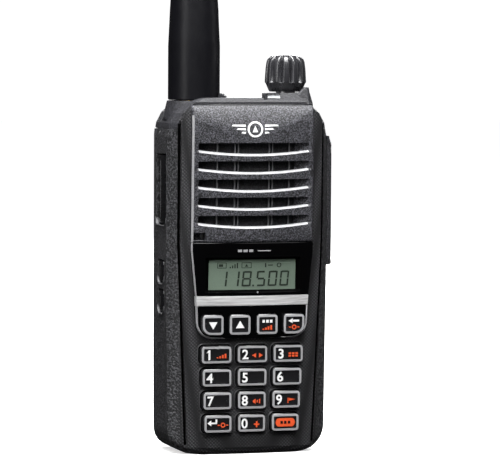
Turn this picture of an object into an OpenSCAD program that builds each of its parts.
// Handheld airband radio: front case, top cover, chassis, battery pack, antenna and controls.
// The front faces -Y, +X is the viewer's right, +Z is up, and the origin lies on the base.

/* [Body] */
// Width across the sides at mid height
body_w = 52.2; // [51.6:0.1:52.8]
// Width across the sides at the base
base_w = 50.8; // [50.4:0.1:51.2]
// Depth of the case front ahead of the origin, at the base
depth_base = 11.0; // [10.9:0.05:11.1]
// Depth of the case front ahead of the origin, at the top edge
depth_top = 13.7; // [13.6:0.05:13.8]
// Height of the front's top edge
front_h = 109.0; // [108.9:0.05:109.1]
// Height of the top cover's flat
top_h = 110.9; // [110.9:0.1:111.1]
// Radius of the crowned front, seen from above
crown_r = 130; // [120:5:150]
// Radius of the two bottom corners, seen from the front
corner_r = 8; // [7.8:0.1:8.4]
// Wall thickness of the sides and the base
wall = 1.7; // [1.6:0.05:1.8]

/* [Front panel] */
// How far the grille panel stands out of the case
panel_proud = 1.45; // [1.3:0.05:1.5]
// Half width of the grille panel
panel_half = 19.7; // [19.4:0.1:20]
// Number of sound slots
slot_count = 5; // [3:1:5]
// Distance between slots
slot_pitch = 5.62; // [5.5:0.02:5.7]
// Height of a slot in its middle
slot_h = 3.3; // [2.8:0.1:3.6]
// Width of a slot
slot_w = 35.4; // [33:0.2:35.6]

/* [Keys] */
// Width of a number key in the top row
key_w = 9.95; // [9.6:0.05:10]
// Height of a number key
key_h = 5.6; // [5.2:0.1:5.8]
// Distance between rows of number keys
key_row_pitch = 7.2; // [7.1:0.05:7.25]
// Distance between columns in the top row
key_col_pitch = 11.6; // [11.4:0.1:11.7]
// Width of a function key
soft_key_w = 7.1; // [6.8:0.1:7.2]
// Height of a function key
soft_key_h = 6.4; // [6:0.1:6.5]
// Gap round every key
key_gap = 0.3; // [0.25:0.05:0.35]

/* [Antenna and knob] */
// Height of the antenna tip above the base
antenna_top = 282; // [270:1:290]
// Radius of the antenna's skirt
skirt_r = 8.1; // [7.9:0.05:8.15]
// Largest radius of the knob
knob_r = 6.55; // [6.4:0.05:6.6]
// Height of the knob's top above the base
knob_top = 124.3; // [124:0.1:124.6]
// Number of flutes round the knob
flute_count = 17; // [14:1:18]

/* [Battery and clip] */
// Back face of the battery pack
back_y = 15.15; // [15:0.05:15.3]
// Height of the battery pack
battery_h = 101; // [101:0.05:101.1]
// Outer face of the belt clip
clip_y = 22.4; // [22.2:0.1:22.8]
// Width of the belt clip
clip_w = 18; // [17:0.2:18.2]

/* [Hidden] */

// Thickness of a slice in a blended shape
slice = 0.01;
// Facets of rods and of small rounded shapes
rod_fn = 48;
round_fn = 32;

// Lean of the front, top forward
tilt = atan((depth_top - depth_base) / front_h);
// Side outline of the case, half width by height
outline = [[0, base_w / 2], [60, body_w / 2], [92, body_w / 2], [98.9, 25.8], [103, 25.1], [106.2, 23.4],
    [108.3, 21]];
front_crest = [[108.7, 18.5], [front_h, 12]];
cover_crest = [[109.6, 19.5], [top_h, 16]];
bottom_steps = [0, 0.3, 1, 2.2, 4, 6, corner_r];
outline_steps = [30, 60, 92, 97, 98.9, 101, 103, 104.6, 106.2, 107.3, 108.3];
room_steps = [wall, 2.4, 3.6, 5.4, corner_r, 60, 92, 97, 98.9, 101, 103, 104.6, 106.2, 107.4];

// The front curves back above this height, with this radius
brow_z = 97;
brow_r = 35;

// Front corners between the sides and the slanted cheeks
cheek_y = -6;
// Back edge of the case sides
case_back_y = 7.3;
// Parting height between the case and the top cover
cover_z = 101.4;
// Front face of the top cover
cover_front_y = -9.6;
// Back face of the top cover
cover_back_y = 14.6;
// Setback of the top cover's front corners
cover_corner = 1.7;
// Underside of the top cover's roof, and floor of the antenna's seat
roof_z = 107.2;
seat_z = 109.9;
seat_r = 8.6;
// Grooves between the front and the cheeks: half distance at the top and at the base
groove_top = 22.7;
groove_base = 20.1;
groove_bend_z = 66;
groove_w = 0.9;
groove_depth = 1.8;

// Depths behind the case's front face
rebate = 1.0;
front_wall = 2.3;
flat_half = 17.4;

// Heights of the inlays: key bezel, trim strip, display window and grille panel
bezel_z = [36.4, 46.5];
trim_z = [46.6, 49.6];
window_z = [49.7, 66.2];
grille_z = [66.3, front_h - 0.4];
inlay_corner_r = 5;
inlay_foot_half = 17.9;
inlay_waist = [18.25, 49.6];
inlay_full_z = 64;
first_lip_z = 93.7;
slot_rise = 1.2;
mic = [-15.6, 68.3];
speaker_z = 82.5;
speaker_r = 16.4;
display_half = [15.6, 7.2];
display_mid_z = 57.4;

// Boards and mat, front to back
mat_y = [-7.5, -6.9];
logic_y = [-4.7, -3.7];
main_y = [-2.4, -1.4];
board_half = 16.2;
plate_y = [0.4, 3.0];

// Keys
soft_z = 40.7;
soft_x = [-13.1, -4.4, 4.4, 13.1];
first_row_z = 31.4;
row_taper = 0.27;
col_taper = 0.23;
key_r = 1.2;
outer_key_r = 3.0;
key_proud = 1.2;
soft_proud = 2.1;
flange_lip = 0.5;
flange_t = 0.5;
plunger_y = -6.1;
plunger_r = 1.3;

// Screws that hold the chassis in the case
screw_x = 19.4;
screw_z = [12, 65.5, 97];

// Side controls
ptt_z = [71.3, 93.5];
ptt_y = [-5.6, 6.0];
side_key_y = [-3.5, 3.5];
upper_key_z = [53, 60.5];
lower_key_z = [43.8, 51.3];
side_gap = 0.25;
side_switch_x = -20.3;

// Jacks and their cover
jack_y = -2.7;
big_jack_z = 87.5;
small_jack_z = 77;
big_jack_r = 1.8;
small_jack_r = 1.3;
jack_in_x = 11.5;
jack_out_x = 25.9;
cover_screw_z = 94.5;
cover_hinge = [27.1, 59.3];
hinge_pin_r = 0.5;
knuckle_y = [-5.4, 4.3];
knuckle_w = 1.1;
knuckle_r = 0.8;
knuckle_gap = 0.1;
cover_x = [26.2, 28.0];
cover_y = [-5.5, 5.5];
jack_cover_z = [58.4, 99];

// Antenna and volume axes
antenna_at = [-15.3, 1.5];
knob_at = [14.3, 0.5];
shell_r = 4.8;
lug_z = 117.5;
shaft_r = 3;

// Battery bay, hooks and latch
bay_half = 21.3;
insert_half = 21.0;
insert_z = [3.6, 98.3];
insert_y = 3.3;
slab_y = 7.6;
rear_r = 7;
hook_at = [12.6, 102.4];
hook_r = 1.0;
hook_x = 12;
cell_y = [4.9, 13.3];
contact_x = [-9, -3, 3, 9];
contact_z = [12, 18];
latch_y = [8.7, 11.4];

// Belt clip
clip_pin_at = [18.3, 86];
clip_pin_r = 1.0;
clip_z = [18, 95];
clip_t = 1.8;
ear_x = [9.6, 11.6];

// Rounded knots of an outline's corner
function arc_points(c, r, a0, a1, n = 6) =
    [for (i = [0:n]) c + r * [cos(a0 + (a1 - a0) * i / n), sin(a0 + (a1 - a0) * i / n)]];
// Rounded rectangle, with its radii anticlockwise from the upper right corner
function cornered(w, h, r) = concat(
    arc_points([w / 2 - r[0], h / 2 - r[0]], r[0], 0, 90),
    arc_points([r[1] - w / 2, h / 2 - r[1]], r[1], 90, 180),
    arc_points([r[2] - w / 2, r[2] - h / 2], r[2], 180, 270),
    arc_points([w / 2 - r[3], r[3] - h / 2], r[3], 270, 360));
function rounded(w, h, r) = cornered(w, h, [r, r, r, r]);
function mirrored(points) = [for (i = [len(points) - 1:-1:0]) [-points[i][0], points[i][1]]];
function both(points) = concat(points, mirrored(points));

// Shape of the case: half width, front line and crown
function corner_in(z, r) = z < r ? r - sqrt(r * r - pow(r - max(z, 0), 2)) : 0;
function half_w(z, inset = 0) =
    lookup(z, concat(outline, front_crest)) - inset - corner_in(z - inset, corner_r - inset);
function front_y(z) = -depth_base - (depth_top - depth_base) * z / front_h;
function brow(z) = z < brow_z ? 0 : brow_r - sqrt(brow_r * brow_r - (z - brow_z) * (z - brow_z));
function crown(x) = crown_r - sqrt(crown_r * crown_r - x * x);
function groove_x(z) = z > groove_bend_z ? groove_top
    : groove_base + (groove_top - groove_base) * z / groove_bend_z;
function edge_in(z) = z < 1.5 ? 1.5 - z : 0;

// Plan outline of the case at height z, and of the room inside it
function case_section(z) = let (w = half_w(z), g = min(groove_x(z), w - 2)) both(concat(
    [for (i = [0:5]) [g * i / 5, front_y(z) + max(crown(g * i / 5), brow(z)) + edge_in(z)]],
    [[w, cheek_y], [w, case_back_y]]));
function room_section(z) = let (w = half_w(z, wall), f = front_y(z) + front_wall + brow(z)) both([
    [min(flat_half, w - 0.2), f], [min(groove_x(z) - 1, w - 0.1), f + 2.3], [w, cheek_y + 1.6],
    [w, case_back_y + 1]]);

module along_y(y0, y1) translate([0, y1, 0]) rotate([90, 0, 0]) linear_extrude(y1 - y0) children();
module along_z(z0, z1) translate([0, 0, z0]) linear_extrude(z1 - z0) children();
module along_x(x0, x1) translate([x0, 0, 0]) rotate([90, 0, 90]) linear_extrude(x1 - x0) children();
module box(x, y, z) translate([x[0], y[0], z[0]]) cube([x[1] - x[0], y[1] - y[0], z[1] - z[0]]);
module rod_x(x0, x1, y, z, r)
    translate([x0, y, z]) rotate([0, 90, 0]) cylinder(r = r, h = x1 - x0, $fn = rod_fn);
module rod_y(y0, y1, x, z, r)
    translate([x, y0, z]) rotate([-90, 0, 0]) cylinder(r = r, h = y1 - y0, $fn = rod_fn);
module post(z, h, r, fn = 64) translate([0, 0, z]) cylinder(r = r, h = h, $fn = fn);
module studs(places, z, h, r) {
    for (p = places) translate([p[0], p[1], z]) cylinder(r = r, h = h, $fn = round_fn);
}
module layer(z) translate([0, 0, z]) linear_extrude(slice) children();
module at(p) translate([p[0], p[1], 0]) children();

// Everything ahead of the surface that lies d behind the case's crowned, leaning front
module ahead(d) {
    difference() {
        box([-30, 30], [-20, -4], [-5, 120]);
        translate([0, d - depth_base, 0]) rotate([tilt, 0, 0]) intersection() {
            translate([0, crown_r, -20]) cylinder(r = crown_r, h = 160, $fn = 360);
            union() {
                box([-30, 30], [-1, 60], [-20, brow_z]);
                rod_x(-30, 30, brow_r, brow_z, brow_r);
            }
        }
    }
}

// Outline shared by the four inlays, grown by a gap
function inlay_points(grow) = let (
        side = panel_half + grow,
        top = grille_z[1] + grow,
        foot = inlay_foot_half - inlay_corner_r)
    both(concat(
        [[foot, bezel_z[0] - grow]],
        arc_points([foot, bezel_z[0] + inlay_corner_r], inlay_corner_r + grow, -75, 0),
        [inlay_waist + [grow, 0], [side, inlay_full_z], [side, 107.4], [side - 0.5, top - 1.1],
            [10, top - 0.3], [0, top]]));
module inlay(front, back, z) {
    intersection() {
        difference() {
            ahead(back);
            ahead(front);
        }
        along_y(-20, -4) polygon(inlay_points(0));
        box([-30, 30], [-20, -4], z);
    }
}

// Place and size of each key
function soft_key_at(i) = [soft_x[i], soft_z];
function number_key_at(i) = let (row = floor(i / 3), col = i % 3)
    [(col - 1) * (key_col_pitch - col_taper * row), first_row_z - key_row_pitch * row];
function number_key_w(i) = key_w - row_taper * floor(i / 3);
// The outermost function keys follow the bezel's lower corners
function soft_key_r(i) = [key_r, key_r, i == 0 ? outer_key_r : key_r, i == 3 ? outer_key_r : key_r];

module key_holes(gap) {
    for (i = [0:3]) translate(soft_key_at(i))
        polygon(cornered(soft_key_w + 2 * gap, soft_key_h + 2 * gap, soft_key_r(i)));
    for (i = [0:11]) translate(number_key_at(i))
        polygon(rounded(number_key_w(i) + 2 * gap, key_h + 2 * gap, key_r));
}

// A key: cap through the front wall, flange behind the wall and a plunger to its dome
module key(p, w, h, r, proud) {
    flange_y = front_y(p[1]) + front_wall + 0.1;
    color("#17181a") {
        translate([p[0], 0, p[1]]) along_y(front_y(p[1]) - proud, flange_y) polygon(cornered(w, h, r));
        translate([p[0], 0, p[1]]) along_y(flange_y, flange_y + flange_t)
            polygon(rounded(w + 2 * flange_lip, h + 2 * flange_lip, key_r));
        rod_y(flange_y + flange_t, plunger_y, p[0], p[1], plunger_r);
    }
}
module soft_key(i) key(soft_key_at(i), soft_key_w, soft_key_h, soft_key_r(i), soft_proud);
module number_key(i)
    key(number_key_at(i), number_key_w(i), key_h, [key_r, key_r, key_r, key_r], key_proud);

module groove(side) {
    translate([0, -depth_base + crown(groove_top) + groove_depth, 0]) rotate([tilt, 0, 0]) along_y(-6, 0)
        polygon([[side * groove_base, 3], [side * (groove_base + groove_w), 3],
            [side * (groove_top + groove_w), groove_bend_z], [side * (groove_top + groove_w), 104],
            [side * groove_top, 104], [side * groove_top, groove_bend_z]]);
}

module front_case() color("#1b1c1e") {
    difference() {
        union() {
            difference() {
                hull() for (z = concat(bottom_steps, outline_steps, [108.7, front_h]))
                    layer(z - slice) polygon(case_section(z));
                hull() for (z = room_steps) layer(z) polygon(room_section(z));
            }
            for (x = [-screw_x, screw_x], z = screw_z)
                rod_y(front_y(z) + 2.8, plate_y[0] - 0.1, x, z, 2);
            rod_x(22.3, 25.5, jack_y, cover_screw_z, 2.4);
            for (y = knuckle_y) {
                box([25, cover_hinge[0]], [y, y + knuckle_w],
                    [cover_hinge[1] - knuckle_r, cover_hinge[1] + knuckle_r]);
                rod_y(y, y + knuckle_w, cover_hinge[0], cover_hinge[1], knuckle_r);
            }
        }
        box([-30, 30], [cover_front_y - 0.2, 20], [cover_z - 0.1, 120]);
        intersection() {
            ahead(rebate);
            along_y(-20, -4) polygon(inlay_points(0.1));
        }
        along_y(-20, -8) key_holes(key_gap);
        box([-slot_w / 2 - 0.2, slot_w / 2 + 0.2], [-20, -9], [70.6, 97.6]);
        box([-15.9, 15.9], [-20, -9], [display_mid_z - 7.5, display_mid_z + 7.5]);
        rod_y(-20, -8, mic[0], mic[1], 1);
        for (side = [-1, 1]) groove(side);
        box([-30, -22], ptt_y, ptt_z);
        box([-30, -22], side_key_y, upper_key_z);
        box([-30, -22], side_key_y, lower_key_z);
        for (z = [big_jack_z, small_jack_z]) rod_x(20, 30, jack_y, z, 3.1);
        rod_x(19, 30, jack_y, cover_screw_z, 1.3);
        rod_y(-8, 8, cover_hinge[0], cover_hinge[1], hinge_pin_r + 0.06);
        for (x = [-screw_x, screw_x], z = screw_z) rod_y(-6, 2, x, z, 0.95);
        box([-6.5, 6.5], [4.4, 6.2], [0.8, 3]);
    }
}

// Sound slot: straight top edge and an arched lip below
function slot_points(i) = let (lip = first_lip_z - slot_pitch * i, n = 12) concat(
    [[slot_w / 2, lip + slot_h], [-slot_w / 2, lip + slot_h]],
    [for (k = [0:n]) let (u = 2 * k / n - 1) [u * slot_w / 2, lip + slot_rise * u * u]]);

module grille_panel() color("#232426") {
    difference() {
        inlay(-panel_proud, rebate - 0.05, grille_z);
        for (i = [0:slot_count - 1]) along_y(-20, -8) polygon(slot_points(i));
        box([mic[0] - 2, mic[0] + 2], [-20, -8], [66, 68.6]);
    }
}

module display_window() color("#0c0d0f") difference() {
    inlay(-panel_proud, rebate - 0.05, window_z);
    box([-15.8, 15.8], [-11.4, -9], [display_mid_z - 7.4, display_mid_z + 7.4]);
}

module trim_strip() color("#b9bcc0") inlay(-panel_proud, rebate - 0.05, trim_z);

module key_bezel() color("#0f1012") {
    difference() {
        inlay(-panel_proud + 0.25, rebate - 0.05, bezel_z);
        along_y(-20, -8) key_holes(key_gap);
    }
}

// Plan outlines at half width w with rounded rear corners: battery pack and top cover
function plan_points(w, front, back, r) =
    both(concat([[w, front]], arc_points([w - r, back - r], r, 0, 90, 5)));
function cover_points(w, front, back, r) = both(concat(
    [[w - cover_corner, front], [w, cheek_y]], arc_points([w - r, back - r], r, 0, 90, 5)));

// Raised collar in front of the knob, and the guard that rises from its right end
module collar() hull() {
    studs([[6.4, -8.4], [18.6, -8.4], [20.4, -5], [20.4, 5], [9.6, 5]], 107.8, 1.2, 1.2);
    studs([[7.4, -6.6], [18, -6.4], [19.6, -4.2], [19.6, 3.6], [10.6, 3.6]], 112.3, 0.1, 1.2);
}
module horn() hull() {
    studs([[18.8, -8.2], [20.4, -4]], 107.8, 0.5, 1.2);
    studs([[18.7, -7], [19.8, -4]], 113.5, 0.7, 0.7);
    studs([[16.2, -7.4]], 111.6, 0.3, 0.8);
}

// Boss under the antenna's skirt, with a low ramp at its inner side
module antenna_boss() {
    intersection() {
        at(antenna_at) translate([0, 0, 104]) cylinder(r1 = 9.8, r2 = 8.4, h = seat_z - 104, $fn = 96);
        box([-24.9, 0], [cover_front_y, 20], [100, 120]);
    }
    intersection() {
        at(antenna_at) translate([0, 0, 107.8]) cylinder(r1 = 13.6, r2 = 9.4, h = 4.4, $fn = 96);
        box([-9, 0], [-4.5, 7.5], [107.8, 120]);
    }
}

module cover_shell() {
    difference() {
        hull() {
            for (z = [cover_z, 103, 106.2, 108.3]) layer(z)
                polygon(cover_points(half_w(z), cover_front_y, cover_back_y, 5));
            layer(cover_crest[0][0])
                polygon(cover_points(cover_crest[0][1], cover_front_y, cover_back_y - 0.6, 5));
            layer(top_h - slice)
                polygon(cover_points(cover_crest[1][1], cover_front_y + 1.4, cover_back_y - 2.2, 4));
        }
        difference() {
            hull() for (z = [cover_z - 1, 103, 106.2, roof_z]) layer(z)
                polygon(cover_points(half_w(max(z, cover_z)) - 1.8, cover_front_y + 1.8, 12.8, 4));
            box([-25, 25], [10.8, 16], [cover_z - 2, 104.8]);
        }
    }
}

module top_cover() color("#1b1c1e") {
    difference() {
        union() {
            cover_shell();
            antenna_boss();
            collar();
            horn();
        }
        at(antenna_at) {
            post(100, 20, shell_r + 0.05);
            post(100, roof_z - 100, 6.0);
            post(seat_z - 1, 5, 6.6);
            post(seat_z, 5, seat_r, 96);
        }
        at(knob_at) {
            post(100, 20, 3.95);
            post(top_h, 10, 6.3);
        }
        led_body(0.05);
        for (side = [-1, 1]) translate([side * hook_x, 0, 0]) {
            rod_x(-1.9, 1.9, hook_at[0], hook_at[1], hook_r + 0.08);
            box([-1.9, 1.9], [hook_at[0] - 0.95, hook_at[0] + 1.35], [cover_z - 1, hook_at[1] - 0.1]);
        }
    }
}

module led_body(gap) {
    translate([7.75, -7.4, 110.9]) rotate([-30, 0, 0])
        cube([4.1 + 2 * gap, 2.4 + 2 * gap, 1.5 + 2 * gap], center = true);
}
module led_lens() color("#f2f4f6") intersection() {
    led_body(0);
    box([0, 20], [-9.9, 0], [100, 120]);
}

module chassis() color("#9ea1a4") {
    difference() {
        union() {
            box([-bay_half - 1, bay_half + 1], plate_y, [2, 100.9]);
            for (side = [-1, 1]) translate([side * (bay_half + 0.5), 0, 0])
                box([-0.5, 0.5], [plate_y[0], case_back_y - 0.1], [5, 100.9]);
            box([-bay_half, bay_half], [plate_y[0], case_back_y - 0.1], [98.8, 100.9]);
            box([-15, 15], [plate_y[0], case_back_y - 0.1], [2, 2.9]);
        }
        for (x = [-screw_x, screw_x], z = screw_z) {
            rod_y(0, 4, x, z, 1.1);
            rod_y(plate_y[1] - 1.2, 4, x, z, 1.8);
        }
        box([-11.8, 11.8], [0, 4], [10.7, 19.3]);
        for (side = [-1, 1]) translate([side * 22.3, 0, 2]) rotate([0, side * 45, 0])
            cube([6, 30, 6], center = true);
        box([-6.6, 6.6], [4, 8], [1, 3]);
    }
}

module main_seal() color("#2a2a2c") {
    difference() {
        box([-22.2, 22.2], [-0.3, plate_y[0]], [6, 100]);
        box([-21.5, 21.5], [-1, 1], [6.8, 99.2]);
    }
}

module chassis_screws() color("#a8abae") {
    for (x = [-screw_x, screw_x], z = screw_z) difference() {
        union() {
            rod_y(-5.5, plate_y[1] - 1.2, x, z, 0.9);
            rod_y(plate_y[1] - 1.2, plate_y[1] - 0.1, x, z, 1.7);
        }
        translate([x, plate_y[1], z]) {
            cube([2.2, 1, 0.5], center = true);
            cube([0.5, 1, 2.2], center = true);
        }
    }
}

// Speaker driver: flange, cone basket and magnet, turned about the sound axis
module speaker() color("#3a3b3e") {
    translate([0, front_y(speaker_z) + front_wall + 0.5, speaker_z]) rotate([-90, 0, 0])
        rotate_extrude($fn = 96) polygon([[0, 2.4], [9, 1.9], [13.8, 0.5], [14.4, 0], [speaker_r, 0],
            [speaker_r, 1.2], [14.6, 1.5], [9.6, 4.4], [8, 4.6], [8, 7.1], [0, 7.1]]);
}

module speaker_mesh() color("#4a4b4e") {
    intersection() {
        difference() {
            ahead(rebate + 0.5);
            ahead(rebate);
        }
        box([-slot_w / 2, slot_w / 2], [-20, -4], [70.8, 97.4]);
    }
}

module microphone() color("#8d9093")
    rod_y(front_y(mic[1]) + front_wall + 0.15, -7.9, mic[0], mic[1], 1.9);

module lcd_panel() color("#6f8770") {
    box([-display_half[0], display_half[0]], [-11.3, -9.6],
        [display_mid_z - display_half[1], display_mid_z + display_half[1]]);
}

module lcd_frame() color("#d8d8d2") {
    difference() {
        box([-16.4, 16.4], [-9.5, -4.8], [display_mid_z - 8, display_mid_z + 8]);
        box([-14.6, 14.6], [-7.6, -4], [display_mid_z - 6.4, display_mid_z + 6.4]);
    }
}

module keypad_mat() color("#5b5d60") {
    difference() {
        along_y(mat_y[0], mat_y[1]) translate([0, 26]) polygon(rounded(34.6, 39, 3));
        for (i = [0:3]) rod_y(-9, -5, soft_key_at(i)[0], soft_key_at(i)[1], plunger_r + 0.3);
        for (i = [0:11]) rod_y(-9, -5, number_key_at(i)[0], number_key_at(i)[1], plunger_r + 0.3);
    }
}

module logic_board() color("#1f5a3a") {
    box([-board_half, board_half], logic_y, [5.5, 66]);
    for (i = [0:3]) rod_y(logic_y[0] - 0.5, logic_y[0], soft_key_at(i)[0], soft_key_at(i)[1], 2);
    for (i = [0:11]) rod_y(logic_y[0] - 0.5, logic_y[0], number_key_at(i)[0], number_key_at(i)[1], 2);
}

module main_board() color("#1f5a3a") {
    difference() {
        box([-board_half, board_half], main_y, [5.5, 98]);
        box([9.5, 20], [-4, 0], [71, 94]);
    }
}

module rf_shield() color("#b4b7ba") {
    difference() {
        box([-14, 9], [main_y[1], plate_y[0] - 0.05], [40, 95]);
        box([-13.6, 8.6], [main_y[1] - 1, plate_y[0] - 0.45], [40.4, 94.6]);
    }
}

// Bayonet connector: shell with two lugs, flange under the cover and a centre contact
module antenna_connector() color("#c9a24a") at(antenna_at) {
    difference() {
        union() {
            post(103.5, 17.3, shell_r);
            post(105.4, 1.7, 5.9);
            rod_x(-5.8, 5.8, 0, lug_z, 0.95);
        }
        post(111.5, 12, 3.6);
    }
    difference() {
        post(111, 6, 2.2, 48);
        post(112, 8, 0.75, 32);
    }
}

module connector_nut() color("#b4b7ba") at(antenna_at) difference() {
    post(seat_z - 1, 1, 6.3);
    post(seat_z - 2, 3, shell_r + 0.05);
}

module volume_switch() color("#77797c") {
    difference() {
        union() {
            box([knob_at[0] - 5.5, knob_at[0] + 5.5], [-4.5, 5.3], [101.2, 106.5]);
            at(knob_at) post(106, 6.3, 3.9);
        }
        at(knob_at) post(104, 10, shaft_r + 0.05);
    }
}

module volume_nut() color("#b4b7ba") at(knob_at) difference() {
    post(top_h, 1.2, 5.6, 6);
    post(top_h - 1, 4, 3.95);
}

module side_switch_board() color("#1f5a3a") {
    box([-17.3, -16.6], [-6, 0], [42, 94]);
    for (z = [(ptt_z[0] + ptt_z[1]) / 2, (upper_key_z[0] + upper_key_z[1]) / 2,
            (lower_key_z[0] + lower_key_z[1]) / 2])
        box([side_switch_x, -17.3], [-4.5, -0.5], [z - 2, z + 2]);
}

module audio_jacks() color("#2d2e31") {
    difference() {
        union() {
            box([jack_in_x - 1, 23.7], [-5.2, -0.4], [small_jack_z - 4.5, big_jack_z + 4]);
            for (z = [big_jack_z, small_jack_z]) rod_x(23.5, jack_out_x, jack_y, z, 3);
        }
        rod_x(jack_in_x, 27, jack_y, big_jack_z, big_jack_r);
        rod_x(jack_in_x, 27, jack_y, small_jack_z, small_jack_r);
    }
}

module battery_terminals() color("#c9a24a") {
    box([-11.5, 11.5], [main_y[1], plate_y[1]], [11, 19]);
    for (x = contact_x) box([x - 1, x + 1], [plate_y[1], insert_y - 0.1], [13, 17]);
}

// Knob with a domed top and flutes round its side
module volume_knob() color("#18191b") at(knob_at) {
    difference() {
        rotate_extrude($fn = 96) polygon(concat(
            [[0, 112.7], [5.0, 112.7], [knob_r, 115.6], [knob_r - 0.6, knob_top - 1.7]],
            arc_points([knob_r - 1.8, knob_top - 1.6], 1.2, 10, 80, 4), [[0, knob_top]]));
        for (i = [0:flute_count - 1]) rotate([0, 0, 360 * i / flute_count])
            translate([knob_r + 0.35, 0, 0]) post(114.8, 12, 0.85, 24);
        cylinder(r = shaft_r, h = 121, $fn = 64);
    }
}

module volume_shaft() color("#b4b7ba") at(knob_at) post(104.3, 16.7, shaft_r);

// A key in the side wall: face, inner flange and a plunger towards its switch
module side_key(y, z, face_x, tongue) {
    x0 = -half_w((z[0] + z[1]) / 2) - face_x;
    along_x(x0, -23.5) translate([(y[0] + y[1]) / 2, (z[0] + z[1]) / 2])
        polygon(rounded(y[1] - y[0] - 2 * side_gap, z[1] - z[0] - 2 * side_gap, 1.5));
    box([-24.1, -23.5], [y[0] + 1, 2], [z[0] - 0.7, z[1] + 0.7]);
    box([-23.5, side_switch_x - tongue], [-3.2, -1.2], [(z[0] + z[1]) / 2 - 1, (z[0] + z[1]) / 2 + 1]);
}

module ptt_button() color("#17181a") {
    side_key(ptt_y, ptt_z, -0.3, 0.9);
    for (z = [(ptt_z[0] + ptt_z[1]) / 2 - 4.5 : 3 : (ptt_z[0] + ptt_z[1]) / 2 + 4.6])
        box([-half_w(80) + 0.05, -half_w(80) + 0.5], [-3.6, 4], [z - 0.35, z + 0.35]);
}
module side_key_upper() color("#17181a") side_key(side_key_y, upper_key_z, 0.4, 0.6);
module side_key_lower() color("#17181a") side_key(side_key_y, lower_key_z, 0.4, 0.6);

// Jack cover on a barrel hinge at its lower end, held shut by a captive screw at the upper end
module jack_cover() color("#1b1c1e") {
    difference() {
        hull() {
            box([cover_x[0], cover_x[0] + 0.6], cover_y, [cover_hinge[1], jack_cover_z[1]]);
            box([cover_x[1] - 0.3, cover_x[1]], [cover_y[0] + 0.9, cover_y[1] - 0.9],
                [cover_hinge[1], jack_cover_z[1] - 3]);
        }
        rod_x(20, 30, jack_y, cover_screw_z, 1.0);
        rod_x(27.2, 30, jack_y, cover_screw_z, 2.2);
        for (y = knuckle_y) {
            rod_y(y - knuckle_gap, y + knuckle_w + knuckle_gap, cover_hinge[0], cover_hinge[1],
                knuckle_r + 0.15);
            box([20, cover_hinge[0]], [y - knuckle_gap, y + knuckle_w + knuckle_gap],
                [cover_hinge[1] - 2, cover_hinge[1] + knuckle_r + 0.15]);
        }
    }
    rod_y(knuckle_y[0] + knuckle_w + knuckle_gap, knuckle_y[1] - knuckle_gap,
        cover_hinge[0], cover_hinge[1], cover_x[1] - cover_hinge[0]);
    rod_y(knuckle_y[0], knuckle_y[1] + knuckle_w, cover_hinge[0], cover_hinge[1], hinge_pin_r);
}

module jack_cover_screw() color("#a8abae") {
    difference() {
        union() {
            rod_x(22.5, 27.2, jack_y, cover_screw_z, 0.9);
            rod_x(27.2, 27.9, jack_y, cover_screw_z, 2.1);
        }
        box([27.6, 29], [jack_y - 1.8, jack_y + 1.8], [cover_screw_z - 0.25, cover_screw_z + 0.25]);
    }
}

// Rubber sleeve: straight skirt, long taper and a domed tip over the coil and the plug
module antenna_sleeve() color("#141517") at(antenna_at) {
    difference() {
        rotate_extrude($fn = 96) polygon(concat(
            [[0, seat_z + 0.2], [skirt_r - 0.3, seat_z + 0.2], [skirt_r, seat_z + 0.5], [skirt_r, 127],
                [skirt_r - 0.5, 138], [6.0, 164], [4.6, 190], [4.2, antenna_top - 4.2]],
            arc_points([0, antenna_top - 4.2], 4.2, 15, 90, 6)));
        post(seat_z, 121.3 - seat_z, shell_r + 0.08);
        post(lug_z - 1.1, 2.2, 6.0);
        box([-1.1, 1.1], [-6, 6], [seat_z, lug_z]);
        post(121, 7, 4.2);
        post(127, antenna_top - 20 - 127, 2.65, 48);
    }
}

module antenna_coil() color("#b87333") at(antenna_at) post(128.2, antenna_top - 20.2 - 128.2, 2.6, 48);

module antenna_plug() color("#c9a24a") at(antenna_at) {
    post(121.4, 6.5, 4.15);
    difference() {
        post(113.5, 8, 3.45);
        post(112, 9, 2.4);
    }
    post(112.6, 9, 0.65, 32);
}

// Outer block of the battery pack: front outline, plan outline and side outline in one
module slab() intersection() {
    along_y(slab_y, back_y)
        polygon(both([for (z = concat(bottom_steps, [60, 92, 98.9, battery_h])) [half_w(z), z]]));
    linear_extrude(battery_h) polygon(plan_points(body_w / 2, slab_y, back_y, rear_r));
    along_x(-30, 30) polygon([[slab_y, 0], [back_y - 1.6, 0], [back_y, 1.6], [back_y, battery_h - 1.4],
        [hook_at[0], battery_h], [slab_y, battery_h]]);
}

module battery_case() color("#1a1b1d") {
    difference() {
        union() {
            slab();
            box([-insert_half, insert_half], [insert_y, 9], insert_z);
            for (side = [-1, 1]) {
                translate([side * hook_x, 0, 0]) {
                    rod_x(-1.6, 1.6, hook_at[0], hook_at[1], hook_r);
                    box([-1.6, 1.6], [hook_at[0] - 0.6, hook_at[0] + 0.6], [battery_h - 1.5, hook_at[1]]);
                }
                along_x(side > 0 ? ear_x[0] : -ear_x[1], side > 0 ? ear_x[1] : -ear_x[0]) polygon(concat(
                    [[14, 81], [14, 91]], arc_points(clip_pin_at, 2.2, 75, -75)));
            }
        }
        box([-19.7, 19.7], [4.6, 13.6], [5, 96.8]);
        for (x = contact_x) box([x - 1.6, x + 1.6], [3, 5], contact_z);
        box([-8, 8], [8.4, 13.1], [-1, 3.5]);
        rod_x(-15, 15, clip_pin_at[0], clip_pin_at[1], clip_pin_r);
        box([-6.4, 6.4], [3, 8.2], [1, 4.2]);
    }
}

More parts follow.
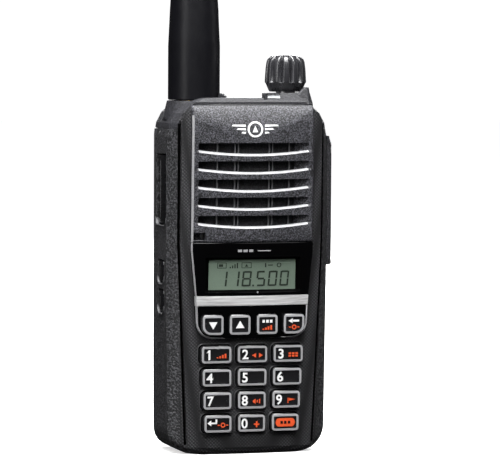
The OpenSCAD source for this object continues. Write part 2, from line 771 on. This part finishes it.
module battery_cells() color("#4f6fa8") {
    for (side = [-1, 1]) translate([side * 9.8, 0, 0]) along_z(8, 92)
        translate([0, (cell_y[0] + cell_y[1]) / 2]) polygon(rounded(18.8, cell_y[1] - cell_y[0], 2));
}

module battery_contacts() color("#d4af37") {
    for (x = contact_x)
        box([x - 1.55, x + 1.55], [insert_y + 0.05, 4.55], [contact_z[0] + 0.05, contact_z[1] - 0.05]);
}

// Leaf catch whose nose drops into a notch in the case's floor
module battery_catch() color("#b4b7ba") {
    box([-6, 6], [3.5, 8.1], [3.3, 4.1]);
    box([-6, 6], [4.7, 5.9], [1.0, 3.3]);
}

module release_latch() color("#222325") {
    box([-7.6, 7.6], latch_y, [0.5, 3.3]);
    for (k = [-1:1]) box([-5, 5], [10 + 0.9 * k - 0.25, 10 + 0.9 * k + 0.25], [0.15, 0.5]);
}

module belt_clip() color("#1a1b1d") {
    difference() {
        union() {
            along_y(clip_y - clip_t, clip_y) translate([0, (clip_z[0] + clip_z[1]) / 2])
                polygon(rounded(clip_w, clip_z[1] - clip_z[0], 4));
            rod_x(-9.2, 9.2, clip_pin_at[0], clip_pin_at[1], 2.2);
            box([-9, 9], [clip_pin_at[0], clip_y - 0.5], [clip_pin_at[1] - 2, clip_pin_at[1] + 2]);
            along_x(-5, 5)
                polygon([[back_y + 0.35, 20.4], [clip_y - 1, 18.6], [clip_y - 1, 25], [20, 24]]);
        }
        rod_x(-12, 12, clip_pin_at[0], clip_pin_at[1], clip_pin_r + 0.06);
        box([-3.3, 3.3], [15, 20.6], [82, 90]);
    }
}

module clip_pin() color("#b4b7ba")
    rod_x(-ear_x[1], ear_x[1], clip_pin_at[0], clip_pin_at[1], clip_pin_r);

module clip_spring() color("#b4b7ba") difference() {
    rod_x(-3, 3, clip_pin_at[0], clip_pin_at[1], 1.9);
    rod_x(-4, 4, clip_pin_at[0], clip_pin_at[1], clip_pin_r + 0.1);
}

front_case();
grille_panel();
display_window();
trim_strip();
key_bezel();
top_cover();
chassis();
main_seal();
chassis_screws();
speaker();
speaker_mesh();
microphone();
lcd_panel();
lcd_frame();
keypad_mat();
logic_board();
main_board();
rf_shield();
antenna_connector();
connector_nut();
volume_switch();
volume_nut();
led_lens();
side_switch_board();
audio_jacks();
battery_terminals();
volume_knob();
volume_shaft();
ptt_button();
side_key_upper();
side_key_lower();
soft_key(0);  // key_down
soft_key(1);  // key_up
soft_key(2);  // key_recall
soft_key(3);  // key_clear
number_key(0);  // key_1
number_key(1);  // key_2
number_key(2);  // key_3
number_key(3);  // key_4
number_key(4);  // key_5
number_key(5);  // key_6
number_key(6);  // key_7
number_key(7);  // key_8
number_key(8);  // key_9
number_key(9);  // key_enter
number_key(10);  // key_0
number_key(11);  // key_function
jack_cover();
jack_cover_screw();
antenna_sleeve();
antenna_coil();
antenna_plug();
battery_case();
battery_cells();
battery_contacts();
battery_catch();
release_latch();
belt_clip();
clip_pin();
clip_spring();
